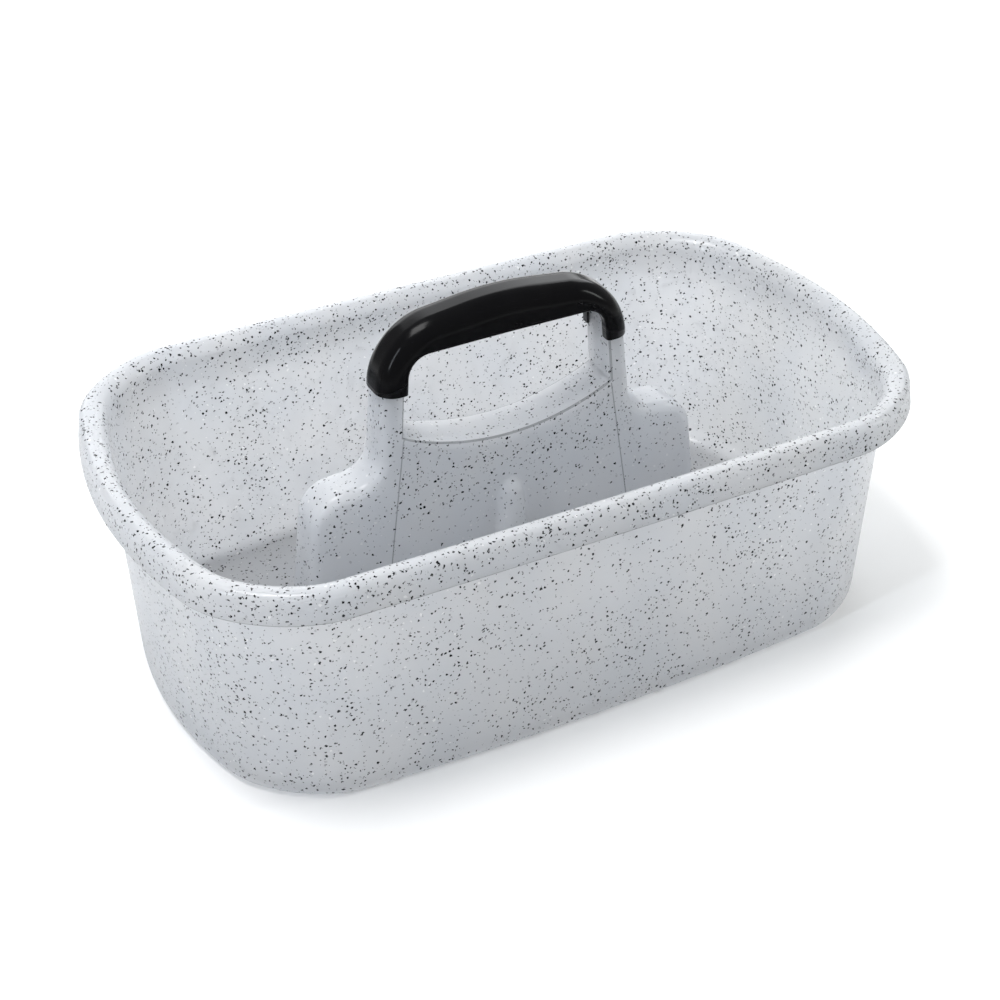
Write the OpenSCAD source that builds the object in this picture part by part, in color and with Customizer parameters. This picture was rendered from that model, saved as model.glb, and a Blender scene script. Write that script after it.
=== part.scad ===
// Cleaning caddy: an open two-compartment tub, a hollow centre divider that
// rises into a carrying arch, and a clip-on grip over the top of the arch.
// Millimetres. The origin is on the underside of the tub, at its centre;
// +X runs along the tub and +Z is up.

/* [Tub] */
// Half of the rim's length, where it meets the corners
rim_half_x = 171; // [150:1:200]
// Half of the rim's width, where it meets the corners
rim_half_y = 114.8; // [95:0.1:140]
// Height of the tub
tub_h = 126.4; // [110:0.1:150]
// Half of the base's length, where it meets the corners
base_half_x = 159.2; // [140:0.1:165]
// Half of the base's width, where it meets the corners
base_half_y = 100.5; // [85:0.1:104]
// Corner radius of the rim
rim_corner = 41.5; // [30:0.5:50]
// Corner radius of the base
base_corner = 37; // [25:0.5:45]
// Outward bow of each end, as a share of the half length
end_bow = 0.156; // [0:0.001:0.2]
// Outward bow of each long side at the base, as a share of the half width
base_side_bow = 0.076; // [0:0.001:0.1]
// Outward bow of each long side at the rim, as a share of the half width
rim_side_bow = 0.015; // [0:0.001:0.05]
// Thickness of the tub's wall
wall = 2.2; // [1.6:0.1:3]
// Thickness of the tub's floor
floor_t = 2.6; // [2:0.1:4]
// Radius of the tub's bottom edge
base_edge = 5; // [3:0.5:8]
// Radius of the fillet between the wall and the floor, inside
floor_fillet = 9; // [6:0.5:12]

/* [Rim] */
// How far the rim stands out from the wall, at the ends
ledge_x = 8.1; // [6:0.1:12]
// How far the rim stands out from the wall, at the long sides
ledge_y = 10.3; // [8:0.1:14]
// Height of the rim's outer skirt
skirt_h = 14.5; // [10:0.5:18]
// Thickness of the skirt
skirt_t = 1.9; // [1.5:0.1:2.5]
// How far the skirt leans out at its lower edge
skirt_lean = 1.3; // [0:0.1:2]
// Radius of the rim's outer top edge
rim_edge = 3.5; // [2.5:0.1:4.5]

/* [Divider] */
// Half of the divider's length at the floor
divider_foot_x = 113.4; // [100:0.1:120]
// Half of the divider's length at its shoulders
divider_shoulder_x = 103; // [95:0.1:110]
// Height of the shoulders
shoulder_z = 96.3; // [85:0.1:104]
// Radius of the shoulders' outer corners
shoulder_r = 18; // [10:0.5:22]
// Radius of the fillet between a shoulder and its post
neck_r = 14; // [8:0.5:18]
// Half thickness of the divider at the hand hole
divider_half_t = 11.4; // [9:0.1:14]
// How much the half thickness grows for each millimetre downwards
draft = 0.02; // [0:0.005:0.04]
// Rounding of the divider's long edges
divider_edge = 5; // [2:0.5:6]
// Thickness of the divider's walls
divider_wall = 2.2; // [1.6:0.1:3]
// Height of the buttress in the middle of each face
buttress_z = 79; // [60:1:88]

/* [Handle] */
// Half width over the posts, at the shoulders
post_x = 69; // [64:0.1:76]
// Half width over the arch, at its top corners
arch_x = 62; // [56:0.1:64]
// Height of the arch's top corners, before they are rounded
arch_corner_z = 170.5; // [160:0.1:180]
// Height of the arch's crown, before it is rounded
arch_crown_z = 178.6; // [172:0.1:190]
// Radius of the arch's top corners
arch_r = 33; // [25:0.5:36]
// Half width of the hand hole at its lower corners
hole_low_x = 56.4; // [50:0.1:58]
// Half width of the hand hole at its upper corners
hole_top_x = 53.2; // [46:0.1:54]
// Height of the hand hole's lower corners
hole_corner_z = 119; // [115:0.1:125]
// Height of the middle of the hand hole's dished floor
hole_dish_z = 105.5; // [104:0.1:112]
// Height of the top of the hand hole
hole_top_z = 162.2; // [155:0.1:165]
// Radius of the hand hole's top corners
hole_r = 13; // [8:0.5:16]

/* [Grip] */
// Thickness of the grip over the arch
grip_wall = 2; // [1.4:0.1:2.6]
// Height of the grip's lower ends
grip_end_z = 142.5; // [135:0.5:150]
// How far the grip's two lips reach under the arch
grip_lip = 3.4; // [2:0.1:5]
// Thickness of the lips
grip_lip_t = 1.7; // [1.2:0.1:2.5]
// Rounding of the grip's upper edges
grip_round = 8; // [5:0.5:10]

/* [Hidden] */

corner_steps = 12;                    // steps around each corner of the tub
side_steps = 12;                      // steps along each long side of the tub
end_steps = 8;                        // steps along each end of the tub
bow_power = 1.96;                     // how the bow fades towards the corners
arc_steps = 8;                        // steps along each rounded corner of an outline
edge_steps = 3;                       // steps across each rounded edge
seat_gap = 0.05;                      // clearance between the grip and the arch
lip_taper = 0.3;                      // how much each face of a lip tapers to its tip

crown_r = 150;                        // crown radius of the arch
hole_crown = 0.4;                     // rise of the hand hole's top towards its middle
hole_crown_r = 2400;                  // crown radius of the hand hole's top
dish_steps = 12;                      // steps along the hand hole's dished floor
dish_drop = hole_corner_z - hole_dish_z;
dish_r = (hole_low_x * hole_low_x + dish_drop * dish_drop) / (2 * dish_drop);

buttress_top_r = 6;                   // radius of the buttress near its top
buttress_foot_r = 13;                 // radius of the buttress at the floor
buttress_fn = 48;

tub_colour = [0.78, 0.80, 0.83];
grip_colour = [0.03, 0.03, 0.035];

function mix(a, b, t) = a + (b - a) * t;
function unit(v) = v / norm(v);
function mirrored(half) = concat(half, [for (i = [len(half) - 1:-1:0]) if (half[i].x != 0)
    [-half[i].x, half[i].y, half[i].z]]);

// ---- the tub: a stack of rings, each a rounded rectangle with bowed sides ----

// One corner of a rounded rectangle, as an arc from angle a0
function corner_arc(hx, hy, r, sx, sy, a0) = [for (k = [0:corner_steps])
    let (a = a0 + 90 * k / corner_steps) [sx * (hx - r) + r * cos(a), sy * (hy - r) + r * sin(a)]];

// The points strictly between two points, spaced evenly
function between(p, q, steps) = [for (k = [1:steps - 1]) mix(p, q, k / steps)];

function rounded_rectangle(hx, hy, r) = concat(
    corner_arc(hx, hy, r, 1, 1, 0), between([hx - r, hy], [r - hx, hy], side_steps),
    corner_arc(hx, hy, r, -1, 1, 90), between([-hx, hy - r], [-hx, r - hy], end_steps),
    corner_arc(hx, hy, r, -1, -1, 180), between([r - hx, -hy], [hx - r, -hy], side_steps),
    corner_arc(hx, hy, r, 1, -1, 270), between([hx, r - hy], [hx, hy - r], end_steps));

// Bows the four sides of an outline outwards and gives it a height
function bowed(points, hx, hy, bow_x, bow_y, z) = [for (p = points)
    [p.x * (1 + bow_x * (1 - pow(min(abs(p.y / hy), 1), bow_power))),
     p.y * (1 + bow_y * (1 - pow(min(abs(p.x / hx), 1), bow_power))), z]];

// A ring of the tub: share 0 lies on the rim's outer face and share 1 on the
// wall's outer face at that height, and inset moves it inwards from there
function tub_ring(share, inset, z) =
    let (up = z / tub_h,
         hx = mix(rim_half_x, mix(base_half_x, rim_half_x - ledge_x, up), share) - inset,
         hy = mix(rim_half_y, mix(base_half_y, rim_half_y - ledge_y, up), share) - inset,
         r = mix(rim_corner, mix(base_corner, rim_corner - ledge_x, up), share) - inset,
         bow_y = mix(rim_side_bow, mix(base_side_bow, rim_side_bow, up), share))
    bowed(rounded_rectangle(hx, hy, max(r, 6)), hx, hy, end_bow, bow_y, z);

// A quarter round of a tub profile, as [share, inset, z]
function quarter(share, inset, z, r, a0, a1, steps) = [for (k = [0:steps])
    let (a = mix(a0, a1, k / steps)) [share, inset + r * cos(a), z + r * sin(a)]];

// The closed profile, from the underside up the outside, over the rim and down the inside
tub_profile = concat(
    quarter(1, base_edge, base_edge, -base_edge, 90, 0, 4),
    [[1, 0, tub_h * 0.45], [1, 0, tub_h - 9], [0.93, 0, tub_h - 5], [0.76, 0, tub_h - 2.9],
     [0.55, 0, tub_h - skirt_t], [0, rim_edge, tub_h - skirt_t], [0, skirt_t + 0.4, tub_h - 2.6],
     [0, skirt_t, tub_h - 4], [0, skirt_t - skirt_lean, tub_h - skirt_h],
     [0, -skirt_lean, tub_h - skirt_h]],
    quarter(0, rim_edge, tub_h - rim_edge, -rim_edge, 0, -90, 4),
    [[0.55, 0, tub_h], [0.8, 0.8, tub_h - 0.8], [0.95, 1.6, tub_h - 3], [1, wall, tub_h - 7],
     [1, wall, tub_h * 0.45]],
    quarter(1, wall + floor_fillet, floor_t + floor_fillet, -floor_fillet, 0, 90, 5));

// ---- the divider and the grip: outlines in the XZ plane with rounded corners ----

// Rounds every corner of a counter-clockwise outline of [x, z, radius], after moving all its
// edges in by d except the closing one, which is the outline's foot
function rounded(corners, d = 0) = let (last = len(corners) - 1) [for (i = [0:last])
    let (a = corners[i == 0 ? last : i - 1], b = corners[i], c = corners[i == last ? 0 : i + 1],
         u = unit([b.x - a.x, b.y - a.y]), v = unit([c.x - b.x, c.y - b.y]),
         left = [-u.y, u.x], turn = left * v, bend = atan2(turn, u * v),
         d_in = i == 0 ? 0 : d, d_out = i == last ? 0 : d,
         p = [b.x, b.y] + d_in * left + (d_in * (u * v) - d_out) / turn * u,
         r = b.z == 0 ? 0 : max(b.z - sign(bend) * d, 0.2), steps = b.z == 0 ? 0 : arc_steps,
         start = p - r * tan(abs(bend) / 2) * u)
    each [for (k = [0:steps]) let (along = steps == 0 ? 0 : abs(bend) * k / steps)
        start + r * sin(along) * u + r * (1 - cos(along)) * sign(bend) * left]];

function half_thickness(z) = divider_half_t + draft * (hole_corner_z - z);

// A slab between the front and rear faces, from the same outline taken in by each inset;
// levels are [inset, cut], where cut is how far the level lies inside the faces
module drafted_slab(corners, levels) {
    last = len(levels) - 1;
    stack([for (s = [1, -1], k = [0:last]) let (level = levels[s > 0 ? k : last - k])
        [for (p = rounded(corners, level.x)) [p.x, s * (half_thickness(p.y) - level.y), p.y]]]);
}

// A closed solid through a list of rings with the same number of points
module stack(rings) {
    n = len(rings[0]);
    last = len(rings) - 1;
    polyhedron(
        points = [for (ring = rings) each ring],
        faces = concat(
            [[for (i = [0:n - 1]) i]],
            [for (j = [0:last - 1], i = [0:n - 1])
                [j * n + i, (j + 1) * n + i, (j + 1) * n + (i + 1) % n, j * n + (i + 1) % n]],
            [[for (i = [n - 1:-1:0]) last * n + i]]),
        convexity = 10);
}

// The rounding of an edge as slab levels, from the face to the side
function edge_levels(r) = [for (k = [0:edge_steps])
    let (a = 90 * k / edge_steps) [r * (1 - sin(a)), r * (1 - cos(a))]];

divider_corners = mirrored([
    [divider_foot_x, floor_t, 0],
    [divider_shoulder_x, shoulder_z - 1, shoulder_r],
    [post_x, shoulder_z + 1, neck_r],
    [arch_x, arch_corner_z, arch_r],
    [0, arch_crown_z, crown_r]]);

// The hollow's outline runs on below the foot, which leaves the divider open underneath
hollow_corners = concat([[divider_foot_x, floor_t - 2, 0]],
    [for (i = [1:len(divider_corners) - 2]) divider_corners[i]],
    [[-divider_foot_x, floor_t - 2, 0]]);

hole_corners = mirrored([
    [hole_low_x, hole_corner_z, 0],
    [hole_top_x, hole_top_z, hole_r],
    [0, hole_top_z + hole_crown, hole_crown_r]]);

// ---- sub-parts ----

module tub() {
    color(tub_colour) stack([for (p = tub_profile) tub_ring(p.x, p.y, p.z)]);
}

// Stands an XZ drawing up as a prism that reaches half_t in front and behind
module prism(half_t) {
    rotate([90, 0, 0]) linear_extrude(height = 2 * half_t, center = true) children();
}

// The hand hole's outline with its dished floor, grown outwards by the given amount
module hand_hole_2d(grow) {
    floor_points = [for (k = [1:dish_steps - 1]) let (x = mix(-hole_low_x, hole_low_x, k / dish_steps))
        [x, hole_dish_z - grow + dish_r - sqrt(dish_r * dish_r - x * x)]];
    polygon(concat(rounded(hole_corners, -grow), floor_points));
}

// The divider's hollow, which runs on round the hand hole and up the posts into the arch
module hollow() {
    module hollow_2d() {
        difference() {
            polygon(rounded(hollow_corners, divider_wall));
            hand_hole_2d(divider_wall);
        }
    }
    prism(half_thickness(arch_crown_z) - divider_wall) hollow_2d();
    prism(half_thickness(shoulder_z) - divider_wall) intersection() {
        hollow_2d();
        translate([-divider_foot_x, 0]) square([2 * divider_foot_x, shoulder_z]);
    }
}

// A round buttress in the middle of each face that widens towards the floor
module buttresses(inset) {
    cone_h = buttress_z - floor_t - buttress_top_r;
    for (s = [-1, 1]) translate([0, s * half_thickness(buttress_z), floor_t]) {
        cylinder(h = cone_h, r1 = buttress_foot_r - inset, r2 = buttress_top_r - inset,
            $fn = buttress_fn);
        translate([0, 0, cone_h]) sphere(r = buttress_top_r - inset, $fn = buttress_fn);
    }
}

module handle_divider() {
    color(tub_colour) difference() {
        union() {
            drafted_slab(divider_corners, edge_levels(divider_edge));
            buttresses(0);
        }
        prism(2 * divider_half_t) hand_hole_2d(0);
        hollow();
        buttresses(divider_wall);
    }
}

// Half width of the posts at a height
function post_at(z) = mix(post_x, arch_x, (z - shoulder_z - 1) / (arch_corner_z - shoulder_z - 1));

// Half width of the hand hole at a height
function hole_at(z) = mix(hole_low_x, hole_top_x, (z - hole_corner_z) / (hole_top_z - hole_corner_z));

// The part of an outline that lies above the grip's ends, moved in by d, from end to end
function over_arch(corners, end_x, d) =
    rounded(mirrored(concat([[end_x, grip_end_z, 0]], corners)), d);

// A quarter round of the grip's section between two sides, as [height, y]
function section_arc(n, y, r, a0, a1) = [for (k = [0:4])
    let (a = mix(a0, a1, k / 4)) [n + r * sin(a), y + r * cos(a)]];

// Half of the grip's C-shaped section, from the lip's inner tip round the outside to the top
// and back under it: t is the section's height and ht the arch's half thickness
function half_section_outer(t, ht) = concat(
    [[lip_taper, ht - grip_lip]],
    section_arc(2, ht + grip_wall - 2, 2, -90, 0),
    section_arc(t - grip_round, ht + grip_wall - grip_round, grip_round, 0, 90));
function half_section_inner(t, ht) = concat(
    section_arc(t - grip_wall - divider_edge + seat_gap, ht - divider_edge + seat_gap,
        divider_edge, 90, 0),
    [[grip_lip_t - seat_gap, ht + seat_gap], [grip_lip_t - lip_taper, ht - grip_lip]]);
function reversed(points) = [for (i = [len(points) - 1:-1:0]) points[i]];
function flipped(points) = [for (p = points) [p.x, -p.y]];
function grip_section(t, ht) = concat(half_section_outer(t, ht),
    reversed(flipped(half_section_outer(t, ht))),
    reversed(flipped(half_section_inner(t, ht))), half_section_inner(t, ht));

module grip() {
    outer = over_arch([[arch_x, arch_corner_z, arch_r], [0, arch_crown_z, crown_r]],
        post_at(grip_end_z), -grip_wall);
    inner = over_arch([[hole_top_x, hole_top_z, hole_r], [0, hole_top_z + hole_crown, hole_crown_r]],
        hole_at(grip_end_z), grip_lip_t);
    color(grip_colour) stack([for (i = [0:len(outer) - 1])
        let (o = outer[i], n = inner[i], up = unit(o - n))
        [for (q = grip_section(norm(o - n), half_thickness(mix(n.y, o.y, 0.5))))
            [n.x + q.x * up.x, q.y, n.y + q.x * up.y]]]);
}

tub();
handle_divider();
grip();
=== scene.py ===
"""Looks of the cleaning caddy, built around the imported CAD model.

Every piece is made from the same few dimensions as its CAD node, in metres and in the same
frame: +X runs along the tub, +Z is up and the origin is under the middle of the tub.
"""
import math

import bmesh
import bpy
import numpy as np
from mathutils import Matrix, Vector
from mathutils.geometry import delaunay_2d_cdt


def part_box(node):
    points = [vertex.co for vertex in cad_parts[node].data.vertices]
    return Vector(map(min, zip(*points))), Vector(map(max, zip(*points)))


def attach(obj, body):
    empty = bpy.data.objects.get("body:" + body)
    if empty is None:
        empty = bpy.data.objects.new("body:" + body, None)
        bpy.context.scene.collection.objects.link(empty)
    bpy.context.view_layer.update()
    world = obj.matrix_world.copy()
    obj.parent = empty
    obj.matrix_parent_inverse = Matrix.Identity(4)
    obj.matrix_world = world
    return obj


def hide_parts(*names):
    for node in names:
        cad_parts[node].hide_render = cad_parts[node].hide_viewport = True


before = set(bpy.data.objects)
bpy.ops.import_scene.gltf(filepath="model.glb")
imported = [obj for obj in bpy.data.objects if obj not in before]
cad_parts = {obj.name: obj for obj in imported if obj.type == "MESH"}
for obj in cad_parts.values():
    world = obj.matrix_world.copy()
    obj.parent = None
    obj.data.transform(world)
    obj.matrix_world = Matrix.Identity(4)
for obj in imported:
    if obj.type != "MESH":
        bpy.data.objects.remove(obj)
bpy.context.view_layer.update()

MM = 0.001

# ---- driving dimensions, in metres ----

# Heights that the CAD nodes fix
TUB_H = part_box("tub")[1].z
FLOOR_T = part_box("handle_divider")[0].z
GRIP_END_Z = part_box("grip")[0].z

# Tub: half sizes where the sides meet the corners, corner radii and outward bows
END_BOW = 0.156
BOW_POWER = 1.96
RIM_HALF_X = 171 * MM
RIM_HALF_Y = 114.8 * MM
RIM_CORNER = 41.5 * MM
RIM_SIDE_BOW = 0.015
BASE_HALF_X = 159.2 * MM
BASE_HALF_Y = 100.5 * MM
BASE_CORNER = 37 * MM
BASE_SIDE_BOW = 0.076
BASE_EDGE = 5 * MM
MIN_CORNER = 6 * MM
WALL = 2.2 * MM
FLOOR_FILLET = 9 * MM
FLAT_MARGIN = 3 * MM  # from a flat floor's edge to its first ring

# Rim: how far it stands out from the wall, and its outer skirt
LEDGE_X = 8.1 * MM
LEDGE_Y = 10.3 * MM
SKIRT_H = 14.5 * MM
SKIRT_T = 1.9 * MM
SKIRT_LEAN = 1.3 * MM
RIM_EDGE = 3.5 * MM
RIM_CREST = 0.55      # where the crest lies between the rim's outer face, 0, and the wall, 1
COVE_H = 7 * MM       # the round that leads from the wall up to the crest

# Divider and arch, as outlines in the XZ plane with rounded corners
DIVIDER_HALF_T = 11.4 * MM
DRAFT = 0.02
DIVIDER_EDGE = 5 * MM
DIVIDER_WALL = 2.2 * MM
HOLE_CORNER_Z = 119 * MM
HOLE_LOW_X = 56.4 * MM
HOLE_TOP_Z = 162.2 * MM
HOLE_DISH_Z = 105.5 * MM
HOLE_EDGE = 0.9 * MM
FOOT_X = 113.4 * MM
ARCH_CORNER = (62 * MM, 170.5 * MM, 33 * MM)
ARCH_CROWN = (0, 178.6 * MM, 150 * MM)
HOLE_CORNER = (53.2 * MM, HOLE_TOP_Z, 13 * MM)
HOLE_CROWN = (0, HOLE_TOP_Z + 0.4 * MM, 2400 * MM)
DIVIDER_HALF = [
    (FOOT_X, FLOOR_T, 0),
    (103 * MM, 95.3 * MM, 18 * MM),
    (69 * MM, 97.3 * MM, 14 * MM),
    ARCH_CORNER,
    ARCH_CROWN,
]
HOLE_HALF = [(HOLE_LOW_X, HOLE_CORNER_Z, 0), HOLE_CORNER, HOLE_CROWN]

# Round buttress in the middle of each face of the divider
BUTTRESS_Z = 79 * MM
BUTTRESS_TOP_R = 6 * MM
BUTTRESS_FOOT_R = 13 * MM
BUTTRESS_BLEND = 0.5 * MM

# Witness line of the mould on each side of the divider's faces
WITNESS_TOP = (HOLE_LOW_X, HOLE_CORNER_Z - 1.5 * MM)
WITNESS_FOOT = (72.8 * MM, FLOOR_T)
WITNESS_HALF_W = 0.32 * MM
WITNESS_H = 0.25 * MM
WITNESS_START = 0.5 * MM
WITNESS_TOL = 0.02 * MM

# Grip
GRIP_WALL = 2 * MM
GRIP_LIP = 3.4 * MM
GRIP_LIP_T = 1.7 * MM
GRIP_LIP_EDGE = 0.5 * MM
GRIP_LIP_TAPER = 0.4 * MM
GRIP_ROUND = 9.5 * MM


# ---- small helpers ----

WELD = 0.002 * MM     # points closer than this are one point


def mix(a, b, t):
    """The value a share t of the way from a to b."""
    return a + (b - a) * t


def steps(count):
    """Evenly spaced shares from 0 to 1, both included."""
    return np.linspace(0, 1, count + 1)


def both_sides(half):
    """A list of corners on the +X side, and then their mirror images in reverse."""
    return half + [(-x, z, r) for x, z, r in reversed(half) if x != 0]


def object_from(name, verts, faces, marks=None):
    """A mesh object with smooth shading, its normals pointing outwards. marks gives the number
    of each face's material."""
    mesh = bpy.data.meshes.new(name)
    mesh.from_pydata([tuple(v) for v in verts], [], [tuple(int(i) for i in f) for f in faces])
    if marks is not None:
        mesh.polygons.foreach_set("material_index", np.array(marks, dtype=np.int32))
    bm = bmesh.new()
    bm.from_mesh(mesh)
    bmesh.ops.remove_doubles(bm, verts=bm.verts, dist=WELD)
    bmesh.ops.recalc_face_normals(bm, faces=bm.faces)
    for face in bm.faces:
        face.smooth = True
    bm.to_mesh(mesh)
    bm.free()
    piece = bpy.data.objects.new(name, mesh)
    bpy.context.collection.objects.link(piece)
    return piece


def soften_normals(piece):
    """Keeps flat faces flat beside rounded edges."""
    modifier = piece.modifiers.new("flat_faces", "WEIGHTED_NORMAL")
    modifier.weight = 100
    modifier.keep_sharp = True


def stack(rings):
    """Vertices and faces of a closed solid through rings with the same number of points."""
    n = len(rings[0])
    last = len(rings) - 1
    faces = [list(range(n))]
    for j in range(last):
        for i in range(n):
            k = (i + 1) % n
            faces.append((j * n + i, (j + 1) * n + i, (j + 1) * n + k, j * n + k))
    faces.append([last * n + i for i in reversed(range(n))])
    return np.vstack(rings), faces


# ---- tub ----

CORNER_STEPS = 24
SIDE_STEPS = 40
END_STEPS = 24
COVE_STEPS = 8
WALL_LEVELS = (0.2, 0.45, 0.7, 0.85)    # heights of the wall's rings, as shares of the tub's


def corner_arc(hx, hy, r, sx, sy, start):
    """One corner of a rounded rectangle."""
    turn = start + steps(CORNER_STEPS) * math.pi / 2
    return np.c_[sx * (hx - r) + r * np.cos(turn), sy * (hy - r) + r * np.sin(turn)]


def between(p, q, count):
    """Evenly spaced points strictly between two points."""
    return mix(np.array(p), np.array(q), steps(count)[1:-1, None])


def rounded_rectangle(hx, hy, r):
    """A rounded rectangle's points, counter-clockwise from the middle of its right side."""
    half_pi = math.pi / 2
    return np.vstack([
        corner_arc(hx, hy, r, 1, 1, 0),
        between((hx - r, hy), (r - hx, hy), SIDE_STEPS),
        corner_arc(hx, hy, r, -1, 1, half_pi),
        between((-hx, hy - r), (-hx, r - hy), END_STEPS),
        corner_arc(hx, hy, r, -1, -1, 2 * half_pi),
        between((r - hx, -hy), (hx - r, -hy), SIDE_STEPS),
        corner_arc(hx, hy, r, 1, -1, 3 * half_pi),
        between((hx, r - hy), (hx, hy - r), END_STEPS),
    ])


def tub_ring(share, inset, z):
    """A ring of the tub. Share 0 lies on the rim's outer face and 1 on the wall's outer face."""
    up = z / TUB_H
    hx = mix(RIM_HALF_X, mix(BASE_HALF_X, RIM_HALF_X - LEDGE_X, up), share) - inset
    hy = mix(RIM_HALF_Y, mix(BASE_HALF_Y, RIM_HALF_Y - LEDGE_Y, up), share) - inset
    r = mix(RIM_CORNER, mix(BASE_CORNER, RIM_CORNER - LEDGE_X, up), share) - inset
    bow_y = mix(RIM_SIDE_BOW, mix(BASE_SIDE_BOW, RIM_SIDE_BOW, up), share)
    p = rounded_rectangle(hx, hy, max(r, MIN_CORNER))
    along_y = np.minimum(np.abs(p[:, 1] / hy), 1) ** BOW_POWER
    along_x = np.minimum(np.abs(p[:, 0] / hx), 1) ** BOW_POWER
    x = p[:, 0] * (1 + END_BOW * (1 - along_y))
    y = p[:, 1] * (1 + bow_y * (1 - along_x))
    return np.c_[x, y, np.full(len(p), z)]


def arc_profile(share, inset, z, r, start, end, count):
    """Part of a round in the tub's profile, as (share, inset, z), with angles in degrees."""
    turn = np.radians(mix(start, end, steps(count)))
    return [(share, inset + r * math.cos(a), z + r * math.sin(a)) for a in turn]


def tub_profile():
    """The closed profile, up the outside, over the rim and down the inside."""
    out = 1 - np.cos(steps(COVE_STEPS) * math.pi / 2)
    up = np.sin(steps(COVE_STEPS) * math.pi / 2)
    under_low, under_high = TUB_H - COVE_H - SKIRT_T, TUB_H - SKIRT_T
    cove_under = [
        (mix(1, RIM_CREST, o), 0, mix(under_low, under_high, u))
        for o, u in zip(out, up)
    ]
    cove_inside = [
        (mix(RIM_CREST, 1, u), WALL * u, mix(TUB_H, TUB_H - COVE_H, o))
        for o, u in zip(out, up)
    ]
    skirt_low = TUB_H - SKIRT_H
    tip = SKIRT_T / 2
    fillet = WALL + FLOOR_FILLET
    return (
        [(1, BASE_EDGE + FLAT_MARGIN, 0)]
        + arc_profile(1, BASE_EDGE, BASE_EDGE, -BASE_EDGE, 90, 0, 8)
        + [(1, 0, TUB_H * level) for level in WALL_LEVELS]
        + cove_under
        + arc_profile(0, RIM_EDGE, TUB_H - RIM_EDGE, SKIRT_T - RIM_EDGE, -90, 0, 5)
        + arc_profile(0, tip - SKIRT_LEAN, skirt_low + tip, tip, 0, -180, 8)
        + arc_profile(0, RIM_EDGE, TUB_H - RIM_EDGE, -RIM_EDGE, 0, -90, 8)
        + cove_inside
        + [(1, WALL, TUB_H * level) for level in reversed(WALL_LEVELS)]
        + arc_profile(1, fillet, FLOOR_T + FLOOR_FILLET, -FLOOR_FILLET, 0, 90, 10)
        + [(1, fillet + FLAT_MARGIN, FLOOR_T)]
    )


def make_tub():
    """The tub with its rolled rim and skirt. The skirt's lower edge takes the darker edge
    material, painted shade under the rim.
    """
    profile = tub_profile()
    verts, faces = stack([tub_ring(*p) for p in profile])
    # The skirt's tip takes the darker edge material: painted shade under the rim.
    tip_top = TUB_H - SKIRT_H + SKIRT_T / 2 + WELD
    on_tip = [share == 0 and z < tip_top for share, _, z in profile]
    count = (len(faces) - 2) // (len(profile) - 1)
    marks = [0] + [a and b for a, b in zip(on_tip, on_tip[1:]) for _ in range(count)] + [0]
    return object_from("tub_shell", verts, faces, marks)


# ---- divider ----

ARC_STEPS = 18
EDGE_STEPS = 6
HOLE_EDGE_STEPS = 3
DISH_STEPS = 36
MIN_ARC_R = 0.2 * MM
SPACING = 4 * MM      # between points along an outline and over a face
FINE_SPACING = 1.5 * MM
FINE_REACH = (24 * MM, BUTTRESS_Z + 9 * MM)     # half width and top of the finer points' area
FACE_MARGIN = 1 * MM  # from the foot to a face's first points, and between points along edges
CLEARANCE = 1.2 * MM  # between a face's points and its outlines
SLIVER = 0.05 * MM    # triangles this near an outline are slivers along it


def rounded(corners, inset=0.0):
    """An outline in XZ with rounded corners, counter-clockwise, from its first corner to its
    last. Every edge is first moved in by inset, except the foot that would close it."""
    last = len(corners) - 1
    points = []
    for i, (x, z, radius) in enumerate(corners):
        b = np.array([x, z])
        u = b - np.array(corners[i - 1][:2])
        v = np.array(corners[(i + 1) % (last + 1)][:2]) - b
        u = u / np.linalg.norm(u)
        v = v / np.linalg.norm(v)
        left = np.array([-u[1], u[0]])
        turn = left @ v
        bend = math.atan2(turn, u @ v)
        before = 0 if i == 0 else inset
        after = 0 if i == last else inset
        corner = b + before * left + (before * (u @ v) - after) / turn * u
        if radius == 0:
            points.append(corner)
            continue
        side = math.copysign(1, bend)
        r = max(radius - side * inset, MIN_ARC_R)
        start = corner - r * math.tan(abs(bend) / 2) * u
        for angle in steps(ARC_STEPS) * abs(bend):
            across = r * (1 - math.cos(angle)) * side
            points.append(start + r * math.sin(angle) * u + across * left)
    return np.array(points)


def filled_in(points, spacing=SPACING, like=None):
    """A line of points with its longer stretches split into short ones, as many as in like."""
    like = points if like is None else like
    out = [points[0]]
    for p, q, a, b in zip(points[:-1], points[1:], like[:-1], like[1:]):
        count = max(1, math.ceil(np.linalg.norm(b - a) / spacing))
        out.extend(mix(p, q, s) for s in steps(count)[1:])
    return np.array(out)


def half_thickness(z):
    """The divider's half thickness, which grows downwards by its draft."""
    return DIVIDER_HALF_T + DRAFT * (HOLE_CORNER_Z - z)


def hole_outline(grow):
    """The hand hole, grown outwards, counter-clockwise: over its top, then its dished floor."""
    drop = HOLE_CORNER_Z - HOLE_DISH_Z
    radius = (HOLE_LOW_X**2 + drop**2) / (2 * drop)
    top = rounded(both_sides(HOLE_HALF), -grow)
    x = mix(-HOLE_LOW_X, HOLE_LOW_X, steps(DISH_STEPS)[1:-1])
    floor = np.c_[x, HOLE_DISH_Z - grow + radius - np.sqrt(radius**2 - x**2)]
    return np.vstack([top, floor])


def inside(points, outline):
    """True for each point that lies inside a closed outline, by counting crossings."""
    x, z = points[:, 0, None], points[:, 1, None]
    a, b = outline, np.roll(outline, -1, axis=0)
    straddles = (a[:, 1] > z) != (b[:, 1] > z)
    rise = np.where(b[:, 1] == a[:, 1], 1, b[:, 1] - a[:, 1])
    crossing = a[:, 0] + (z - a[:, 1]) / rise * (b[:, 0] - a[:, 0])
    return (straddles & (x < crossing)).sum(1) % 2 == 1


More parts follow.
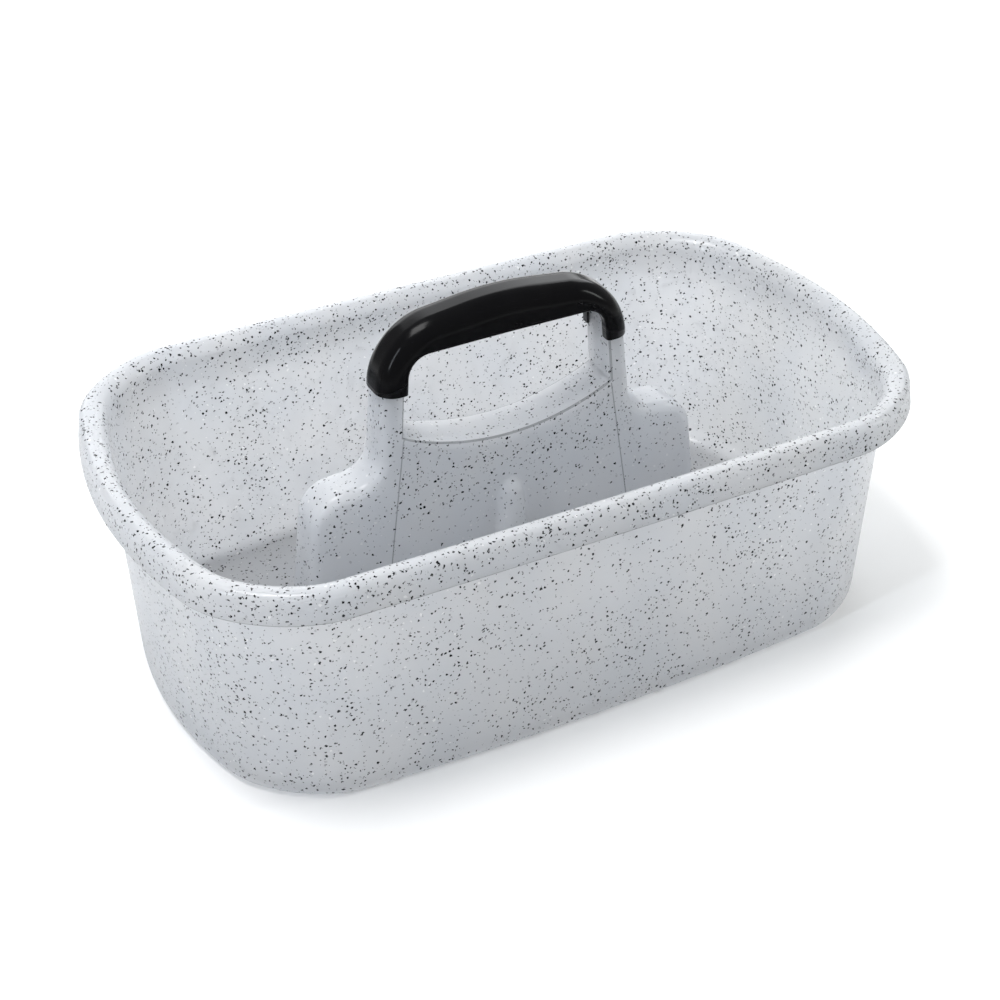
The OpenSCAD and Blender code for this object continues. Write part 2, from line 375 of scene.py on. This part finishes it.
def buttress_height(x, z):
    """How far the buttress stands out of the face, blended into it at its edges."""
    axis = half_thickness(BUTTRESS_Z)
    cone_top = BUTTRESS_Z - BUTTRESS_TOP_R
    share = np.clip((z - FLOOR_T) / (cone_top - FLOOR_T), 0, 1)
    radius = mix(BUTTRESS_FOOT_R, BUTTRESS_TOP_R, share)
    across = np.hypot(x, np.maximum(z - cone_top, 0))
    dome = np.sqrt(np.maximum(radius**2 - across**2, 0))
    proud = axis + dome - half_thickness(z) - np.maximum(across - radius, 0)
    return BUTTRESS_BLEND * np.logaddexp(0, proud / BUTTRESS_BLEND)


def witness_line():
    """Three lines of points along the mould's witness line, on the +X side."""
    ends = np.array([WITNESS_TOP, WITNESS_FOOT])
    middle = filled_in(ends)[:-1]
    along = (ends[1] - ends[0]) / np.linalg.norm(ends[1] - ends[0])
    across = np.array([-along[1], along[0]]) * WITNESS_HALF_W
    return [middle, middle + across, middle - across]


def face_points(outer, hole):
    """Points spread over a face, closer together round the buttress, clear of its edges."""
    points = []
    for spacing, wide, high in ((SPACING, FOOT_X, HOLE_CORNER_Z), (FINE_SPACING, *FINE_REACH)):
        x = np.arange(-wide, wide, spacing)
        z = np.arange(FLOOR_T + FACE_MARGIN, high, spacing)
        points.append(np.array(np.meshgrid(x, z)).reshape(2, -1).T)
    points = np.vstack(points)
    points = points[inside(points, outer) & ~inside(points, hole)]
    boundary = np.vstack([filled_in(outer, FACE_MARGIN), filled_in(hole, FACE_MARGIN)])
    gap = np.array([np.hypot(*(boundary - p).T).min() for p in points])
    return points[gap > CLEARANCE]


def outline(inset):
    """The divider's outline, moved in, with the same number of points each time."""
    corners = both_sides(DIVIDER_HALF)
    return filled_in(rounded(corners, inset), like=rounded(corners))


def at_depth(line, inset, cut):
    """A line of points, behind the face of the skin at inset by cut."""
    depth = half_thickness(line[:, 1]) - inset - cut
    return np.c_[line[:, 0], -depth, line[:, 1]]


def quarter_round(radius, count):
    """The steps of a rounded edge, as (how far in from the outline, how far behind the face)."""
    turn = steps(count) * math.pi / 2
    return [(radius * (1 - math.sin(a)), radius * (1 - math.cos(a))) for a in turn]


def triangulated(loops, lines, spread):
    """Points and triangles of a flat area, with the loops and lines among its edges."""
    edges = []
    first = 0
    for chain in loops + lines:
        edges += [(first + i, first + i + 1) for i in range(len(chain) - 1)]
        if any(chain is loop for loop in loops):
            edges.append((first + len(chain) - 1, first))
        first += len(chain)
    flat = [Vector(p) for p in np.vstack(loops + lines + [spread])]
    points, _, triangles, _, _, _ = delaunay_2d_cdt(flat, edges, [], 0, 1e-7)
    return np.array([tuple(p) for p in points]), np.array(triangles)


def face_of_skin(inset, edge, hole_edge):
    """Vertices, triangles and edge marks of the front face of one skin of the divider. The
    marks give the witness lines the darker edge material, painted shade.
    """
    outer = outline(inset + edge)
    foot = filled_in(np.array([outer[-1], outer[0]]))[1:-1]
    outer = np.vstack([outer, foot])
    hole = hole_outline(inset + hole_edge)
    lines = []
    if inset == 0:
        lines = [line * (side, 1) for line in witness_line() for side in (1, -1)]
    points, triangles = triangulated([outer, hole], lines, face_points(outer, hole))

    middles = points[triangles].mean(1)
    above = middles[:, 1] > FLOOR_T + SLIVER
    within = inside(middles, outline(inset + edge + SLIVER))
    in_hole = inside(middles, hole_outline(inset + hole_edge + SLIVER))
    triangles = triangles[above & within & ~in_hole]

    y = half_thickness(points[:, 1]) - inset + buttress_height(points[:, 0], points[:, 1])
    if inset == 0:
        y += WITNESS_H * on_witness(points)
    # The witness lines take the darker edge material: painted shade along them.
    off_line, _ = from_witness(points[triangles].mean(1))
    marks = (off_line < WITNESS_HALF_W) & (inset == 0)
    return np.c_[points[:, 0], -y, points[:, 1]], triangles, marks


def band(rings, first, closed, marked=0):
    """Faces between neighbouring rings, the first few of them marked for the darker edge
    material, painted shade. first is the number of the first ring's first vertex."""
    faces, marks = [], []
    count = len(rings[0])
    for j in range(len(rings) - 1):
        for i in range(count if closed else count - 1):
            k = (i + 1) % count
            a, b = first + j * count, first + (j + 1) * count
            faces += [[a + i, b + i, b + k], [a + i, b + k, a + k]]
            marks += [j < marked] * 2
    return faces, marks


def half_skin(inset, edge, hole_edge):
    """The front half of one skin of the divider, open at the middle and at the foot."""
    verts, faces, marks = face_of_skin(inset, edge, hole_edge)
    shares = steps(EDGE_STEPS)[1:]
    sides = [at_depth(outline(inset + a), inset, b) for a, b in quarter_round(edge, EDGE_STEPS)]
    sides += [sides[-1] * (1, 1 - s, 1) for s in shares]
    side_faces, side_marks = band(sides, len(verts), False)

    round_steps = HOLE_EDGE_STEPS if hole_edge else 0
    tunnel = [
        at_depth(hole_outline(inset + a), inset, b)
        for a, b in quarter_round(hole_edge, round_steps)
    ]
    tunnel += [tunnel[-1] * (1, 1 - s, 1) for s in shares]
    first = len(verts) + sum(len(ring) for ring in sides)
    # The hand hole's rounded edges take the darker edge material: painted shade.
    tunnel_faces, tunnel_marks = band(tunnel, first, True, round_steps)
    return (
        np.vstack([verts] + sides + tunnel),
        np.vstack([faces, side_faces, tunnel_faces]),
        np.concatenate([marks, side_marks, tunnel_marks]),
    )


def from_witness(points):
    """How far each point is from the nearer witness line, and how far along it."""
    top, foot = np.array(WITNESS_TOP), np.array(WITNESS_FOOT)
    along = (foot - top) / np.linalg.norm(foot - top)
    from_top = np.c_[np.abs(points[:, 0]), points[:, 1]] - top
    reach = from_top @ along
    off = np.abs(from_top[:, 0] * along[1] - from_top[:, 1] * along[0])
    return np.where(reach < 0, 1, off), reach


def on_witness(points):
    """1 for each point on the crest of a witness line, otherwise 0."""
    off, reach = from_witness(points)
    return (off < WITNESS_TOL) & (reach > WITNESS_START)


def make_divider():
    """The hollow divider with its posts, arch and hand hole, open underneath. Each of its two
    skins is a front half and that half's mirror image, and the foot joins the skins."""
    skins = [(0, DIVIDER_EDGE, HOLE_EDGE), (DIVIDER_WALL, DIVIDER_EDGE - DIVIDER_WALL, 0)]
    verts, faces, marks = [], [], []
    total = 0
    for inset, edge, hole_edge in skins:
        half_verts, half_faces, half_marks = half_skin(inset, edge, hole_edge)
        for side in (1, -1):
            verts.append(half_verts * (1, side, 1))
            faces.append(half_faces + total)
            marks.append(half_marks)
            total += len(half_verts)
    verts, faces, marks = np.vstack(verts), np.vstack(faces), np.concatenate(marks)
    piece = object_from("divider_and_arch", verts, faces, marks)
    bm = bmesh.new()
    bm.from_mesh(piece.data)
    top_of_foot = FLOOR_T + SLIVER
    loose = [e for e in bm.edges if e.is_boundary]
    cracks = [e for e in loose if max(v.co.z for v in e.verts) > top_of_foot]
    bmesh.ops.holes_fill(bm, edges=cracks, sides=4)
    foot = [e for e in bm.edges if e.is_boundary]
    bmesh.ops.triangle_fill(bm, use_beauty=True, edges=foot, normal=(0, 0, -1))
    bmesh.ops.recalc_face_normals(bm, faces=bm.faces)
    for face in bm.faces:
        face.smooth = True
    bm.to_mesh(piece.data)
    bm.free()
    return piece


# ---- grip ----


def over_arch(half, end_x, inset):
    """An outline above the grip's ends, from end to end."""
    return rounded(both_sides([(end_x, GRIP_END_Z, 0)] + half), inset)


def on_line(a, b, z):
    """Where a corner-to-corner line of an outline has a height."""
    return mix(a[0], b[0], (z - a[1]) / (b[1] - a[1]))


def section_arc(n, y, r, start, end, count):
    """A round of the grip's section, as (height, y), with angles in degrees."""
    turn = np.radians(mix(start, end, steps(count)))
    return np.c_[n + r * np.sin(turn), y + r * np.cos(turn)]


def grip_section(height, arch_half_t):
    """The grip's closed C-shaped section: its outside, then its inside against the arch."""
    half = arch_half_t + GRIP_WALL
    low = GRIP_WALL
    lip_end = arch_half_t - GRIP_LIP
    outside = np.vstack([
        section_arc(GRIP_LIP_EDGE, lip_end, GRIP_LIP_EDGE, -180, -90, 4),
        section_arc(low, half - low, low, -90, 0, 8),
        section_arc(height - GRIP_ROUND, half - GRIP_ROUND, GRIP_ROUND, 0, 90, 16),
    ])
    inside_arc = height - GRIP_WALL - DIVIDER_EDGE
    inner = np.vstack([
        section_arc(inside_arc, arch_half_t - DIVIDER_EDGE, DIVIDER_EDGE, 90, 0, 8),
        [(GRIP_LIP_T, arch_half_t), (GRIP_LIP_T, lip_end + GRIP_LIP_TAPER)],
    ])
    flip = np.array([1, -1])
    return np.vstack([outside, outside[::-1] * flip, inner[::-1] * flip, inner])


def make_grip():
    """The C-shaped grip, swept along the arch."""
    end_x = on_line(DIVIDER_HALF[2], ARCH_CORNER, GRIP_END_Z)
    hole_x = on_line(HOLE_HALF[0], HOLE_CORNER, GRIP_END_Z)
    over = over_arch([ARCH_CORNER, ARCH_CROWN], end_x, -GRIP_WALL)
    under = over_arch([HOLE_CORNER, HOLE_CROWN], hole_x, GRIP_LIP_T)
    rings = []
    for o, n in zip(over, under):
        up = (o - n) / np.linalg.norm(o - n)
        section = grip_section(np.linalg.norm(o - n), half_thickness((o[1] + n[1]) / 2))
        x = n[0] + section[:, 0] * up[0]
        z = n[1] + section[:, 0] * up[1]
        rings.append(np.c_[x, section[:, 1], z])
    return object_from("grip_cover", *stack(rings))


# ---- materials ----

CLEAR_SHARE = 0.14    # of the light that passes straight through a surface of the plastic
GLOW_SHARE = 0.56     # of the rest, how much is scattered through the surface
RIM_BLEND = 1 * MM
BLACK_FLECK = (0.012, 0.012, 0.014, 1)
FAINT_FLECK = (0.2, 0.2, 0.21, 1)
WHITE_FLECK = (0.97, 0.97, 0.97, 1)


class Nodes:
    """A short way to build a material's node tree. Every method but add returns an output."""

    def __init__(self, name):
        self.material = bpy.data.materials.new(name)
        self.material.use_nodes = True
        self.tree = self.material.node_tree
        self.tree.nodes.clear()

    def add(self, kind, inputs=None, **settings):
        """Adds a node. Inputs take a value or another node's output."""
        node = self.tree.nodes.new("ShaderNode" + kind)
        for key, value in settings.items():
            setattr(node, key, value)
        for key, value in (inputs or {}).items():
            if isinstance(value, bpy.types.NodeSocket):
                self.tree.links.new(value, node.inputs[key])
            else:
                node.inputs[key].default_value = value
        return node

    def place(self):
        """Each point's place in the shared frame."""
        return self.add("TexCoord").outputs["Object"]

    def math(self, operation, a, b=0.0):
        """A sum on two values."""
        return self.add("Math", {0: a, 1: b}, operation=operation).outputs[0]

    def vector(self, operation, a, b):
        """A sum on two vectors, or on a vector and a scale."""
        second = "Scale" if operation == "SCALE" else 1
        return self.add("VectorMath", {0: a, second: b}, operation=operation).outputs[0]

    def noise(self, place, scale, detail, output=0):
        """Soft noise with a number of waves per metre."""
        node = self.add("TexNoise", {"Vector": place, "Scale": scale, "Detail": detail})
        return node.outputs[output]

    def ranged(self, value, low, high, start, end):
        """A value moved from the range low to high onto the range start to end."""
        return self.add("MapRange", {0: value, 1: low, 2: high, 3: start, 4: end}).outputs[0]

    def bump(self, height, strength):
        """A normal bent by a height, a tenth of a millimetre high at strength 1."""
        inputs = {"Strength": strength, "Distance": 0.1 * MM, "Height": height}
        return self.add("Bump", inputs).outputs[0]

    def blend(self, factor, a, b):
        """A colour mixed from a to b."""
        return self.add("Mix", {0: factor, 6: a, 7: b}, data_type="RGBA").outputs[2]

    def shaders(self, factor, a, b):
        """A shader mixed from a to b."""
        return self.add("MixShader", {0: factor, 1: a, 2: b}).outputs[0]

    def finish(self, shader):
        """The material, with its surface connected."""
        self.add("OutputMaterial", {0: shader})
        return self.material


def flecks(nodes, place, cell, smallest, largest, share, shift):
    """A mask of scattered flecks: one in some of the cells of a 3D Voronoi pattern, so that
    each is cut by the surface at its own size. All lengths are in metres."""
    moved = nodes.vector("ADD", place, (shift, 2 * shift, 3 * shift))
    pattern = nodes.add("TexVoronoi", {"Vector": moved, "Scale": 1 / cell}, feature="F1")
    chance = nodes.add("SeparateColor", {0: pattern.outputs["Color"]})
    mostly_small = nodes.math("POWER", chance.outputs[0], 2.0)
    radius = nodes.ranged(mostly_small, 0.0, 1.0, smallest / cell, largest / cell)
    near = nodes.math("LESS_THAN", pattern.outputs["Distance"], radius)
    present = nodes.math("LESS_THAN", chance.outputs[1], share)
    return nodes.math("MULTIPLY", near, present)


def speckled_plastic(name, strong_share, painted_light_scale=1.0):
    """Frosted translucent plastic with black and white flecks. strong_share is how many of the
    cells hold a black fleck, and the last argument scales its brightness: above 1 it paints
    light and below 1 it paints shade, making lighter and darker copies of one plastic."""
    nodes = Nodes(name)
    place = nodes.place()
    push = nodes.vector("SUBTRACT", nodes.noise(place, 900.0, 2.0, "Color"), (0.5, 0.5, 0.5))
    ragged = nodes.vector("ADD", place, nodes.vector("SCALE", push, 2.0 * MM))

    usual = flecks(nodes, ragged, 2.05 * MM, 0.3 * MM, 0.7 * MM, strong_share, 0.0)
    extra = flecks(nodes, ragged, 2.3 * MM, 0.28 * MM, 0.7 * MM, 0.8, 0.613)
    faint = flecks(nodes, ragged, 2.9 * MM, 0.3 * MM, 0.7 * MM, 0.6, 0.131)
    white = flecks(nodes, ragged, 4.0 * MM, 0.3 * MM, 0.75 * MM, 0.5, 0.377)

    # The rim's two layers show twice the flecks
    height = nodes.add("SeparateXYZ", {0: place}).outputs[2]
    skirt_low = TUB_H - SKIRT_H
    over_skirt = nodes.ranged(height, skirt_low, skirt_low + RIM_BLEND, 0.0, 1.0)
    under_top = nodes.math("LESS_THAN", height, TUB_H + RIM_BLEND)
    on_rim = nodes.math("MULTIPLY", over_skirt, under_top)
    black = nodes.math("MAXIMUM", usual, nodes.math("MULTIPLY", extra, on_rim))

    cloudy = nodes.ranged(nodes.noise(place, 28.0, 3.0), 0.35, 0.65, 0.0, 1.0)
    fine = nodes.noise(place, 420.0, 4.0)
    rough = nodes.ranged(fine, 0.3, 0.7, 0.16, 0.26)
    bump = nodes.bump(fine, 0.1)

    def fleck_colour(colour, other, faint_share):
        """The plastic's colour, slightly uneven and scaled by the last argument's painted light
        and shade, with its flecks in it.
        """
        # The scale paints light when above 1 and shade when below 1.
        light_scaled, light_scaled_other = (tuple(c * painted_light_scale for c in rgb) + (1,) for rgb in (colour, other))
        shaded = nodes.blend(cloudy, light_scaled, light_scaled_other)
        with_faint = nodes.blend(nodes.math("MULTIPLY", faint, faint_share), shaded, FAINT_FLECK)
        with_white = nodes.blend(white, with_faint, WHITE_FLECK)
        return nodes.blend(black, with_white, BLACK_FLECK)

    surface = nodes.add("BsdfPrincipled", {
        "Base Color": fleck_colour((0.62, 0.63, 0.645), (0.59, 0.605, 0.63), 0.3),
        "Roughness": rough, "Normal": bump, "IOR": 1.5, "Specular IOR Level": 0.6,
    }).outputs[0]
    glow = nodes.add("BsdfTranslucent", {
        "Color": fleck_colour((0.89, 0.89, 0.895), (0.86, 0.87, 0.885), 0.4), "Normal": bump,
    }).outputs[0]
    clear = nodes.add("BsdfTransparent", {"Color": (0.95, 0.96, 0.98, 1)}).outputs[0]
    solid = nodes.ranged(black, 0.0, 1.0, 1 - CLEAR_SHARE, 1.0)
    scattered = nodes.shaders(GLOW_SHARE, surface, glow)
    return nodes.finish(nodes.shaders(solid, clear, scattered))


def black_plastic():
    """Glossy black moulded plastic with a faint orange peel and light handling marks."""
    nodes = Nodes("black_grip_plastic")
    place = nodes.place()
    rubs = nodes.noise(place, 70.0, 6.0)
    rubs.node.inputs["Roughness"].default_value = 0.7
    surface = nodes.add("BsdfPrincipled", {
        "Base Color": nodes.blend(rubs, (0.0015, 0.0015, 0.002, 1), (0.004, 0.004, 0.0045, 1)),
        "Roughness": nodes.ranged(rubs, 0.35, 0.7, 0.12, 0.22),
        "Normal": nodes.bump(nodes.noise(place, 260.0, 2.0), 0.05),
        "IOR": 1.5, "Specular IOR Level": 0.075,
    })
    return nodes.finish(surface.outputs[0])


def pale_floor():
    """A plain pale studio floor."""
    nodes = Nodes("studio_floor")
    grain = nodes.noise(nodes.place(), 8.0, 2.0)
    surface = nodes.add("BsdfPrincipled", {
        "Base Color": nodes.blend(grain, (0.93, 0.93, 0.93, 1), (0.95, 0.95, 0.95, 1)),
        "Roughness": 0.9, "Specular IOR Level": 0.1,
    })
    return nodes.finish(surface.outputs[0])


# ---- studio ----

CAMERA_AZIMUTH = -27.24       # degrees from the front, towards -X
CAMERA_ELEVATION = 34.3
CAMERA_ROLL = -0.608
CAMERA_DISTANCE = 0.9338
CAMERA_AIM_Z = 63.2 * MM
CAMERA_SENSOR = 36            # millimetres, as is the lens
CAMERA_LENS = 67.06
CAMERA_SHIFT_Y = -0.0071
FLOOR_HALF = 6.0
LAMP_AIM = (0, 0, 0.08)
SURROUND_STRENGTH = 0.52


def add_camera():
    """The camera at the photograph's angle, aimed at the middle of the tub."""
    data = bpy.data.cameras.new("camera")
    data.sensor_width = CAMERA_SENSOR
    data.lens = CAMERA_LENS
    data.shift_y = CAMERA_SHIFT_Y
    camera = bpy.data.objects.new("camera", data)
    bpy.context.collection.objects.link(camera)
    azimuth, elevation = math.radians(CAMERA_AZIMUTH), math.radians(CAMERA_ELEVATION)
    back = Vector((
        math.sin(azimuth) * math.cos(elevation),
        -math.cos(azimuth) * math.cos(elevation),
        math.sin(elevation),
    ))
    look = (-back).to_track_quat("-Z", "Y").to_matrix().to_4x4()
    place = Matrix.Translation(Vector((0, 0, CAMERA_AIM_Z)) + back * CAMERA_DISTANCE)
    camera.matrix_world = place @ look @ Matrix.Rotation(math.radians(CAMERA_ROLL), 4, "Z")
    bpy.context.scene.camera = camera


def add_area_light(name, place, size, power, colour):
    """A soft rectangular lamp that faces the object."""
    data = bpy.data.lights.new(name, "AREA")
    data.shape = "RECTANGLE"
    data.size, data.size_y = size
    data.energy = power
    data.color = colour
    lamp = bpy.data.objects.new(name, data)
    bpy.context.collection.objects.link(lamp)
    lamp.location = place
    lamp.rotation_euler = (Vector(LAMP_AIM) - Vector(place)).to_track_quat("-Z", "Y").to_euler()


def add_studio():
    """A pale floor, an even white surround and four soft lamps."""
    side = FLOOR_HALF
    corners = [(-side, -side, 0), (side, -side, 0), (side, side, 0), (-side, side, 0)]
    floor = object_from("studio_floor", corners, [(0, 1, 2, 3)])
    floor.data.materials.append(pale_floor())
    world = bpy.data.worlds.new("surround")
    world.use_nodes = True
    surround = world.node_tree.nodes["Background"]
    surround.inputs["Color"].default_value = (1, 1, 1, 1)
    surround.inputs["Strength"].default_value = SURROUND_STRENGTH
    bpy.context.scene.world = world
    add_area_light("overhead", (-0.35, 0.1, 1.4), (0.7, 0.5), 17, (1, 1, 1))
    add_area_light("back_panel", (0.45, 1.15, 0.7), (1.8, 0.8), 14, (0.96, 0.98, 1))
    add_area_light("left_strip", (-1.1, -0.3, 0.7), (0.08, 0.6), 4, (0.85, 0.92, 1))
    add_area_light("right_strip", (1.1, -0.5, 0.6), (0.08, 0.6), 3, (0.95, 1, 0.96))


def set_colours():
    """Plain colours, and enough bounces for light inside translucent walls."""
    scene = bpy.context.scene
    scene.view_settings.view_transform = "Standard"
    scene.cycles.max_bounces = 16
    scene.cycles.diffuse_bounces = 8
    scene.cycles.transparent_max_bounces = 16


# ---- the scene ----

wall_plastic = speckled_plastic("speckled_plastic", 0.8)
# The divider's copy is lighter, painted light, and holds fewer black flecks.
lit_divider_plastic = speckled_plastic("speckled_divider_painted_light", 0.55, 1.09)
# A darker copy of the same plastic paints shade on the skirt's lower edge, the hand hole's
# rounded edges and the witness lines.
dark_edge_plastic = speckled_plastic("plastic_edge_painted_shade", 0.8, 0.62)
black = black_plastic()
PIECES = [
    (make_tub(), "tub", "speckled_plastic", (wall_plastic, dark_edge_plastic)),
    (make_divider(), "handle_divider", "speckled_plastic", (lit_divider_plastic, dark_edge_plastic)),
    (make_grip(), "grip", "grip_plastic", (black,)),
]
for piece, node, slot, materials in PIECES:
    for material in materials:
        piece.data.materials.append(material)
    soften_normals(piece)
    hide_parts(node)
    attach(piece, "root")
    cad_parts[node].data.materials.clear()
    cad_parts[node].data.materials.append(materials[0])

add_camera()
add_studio()
set_colours()
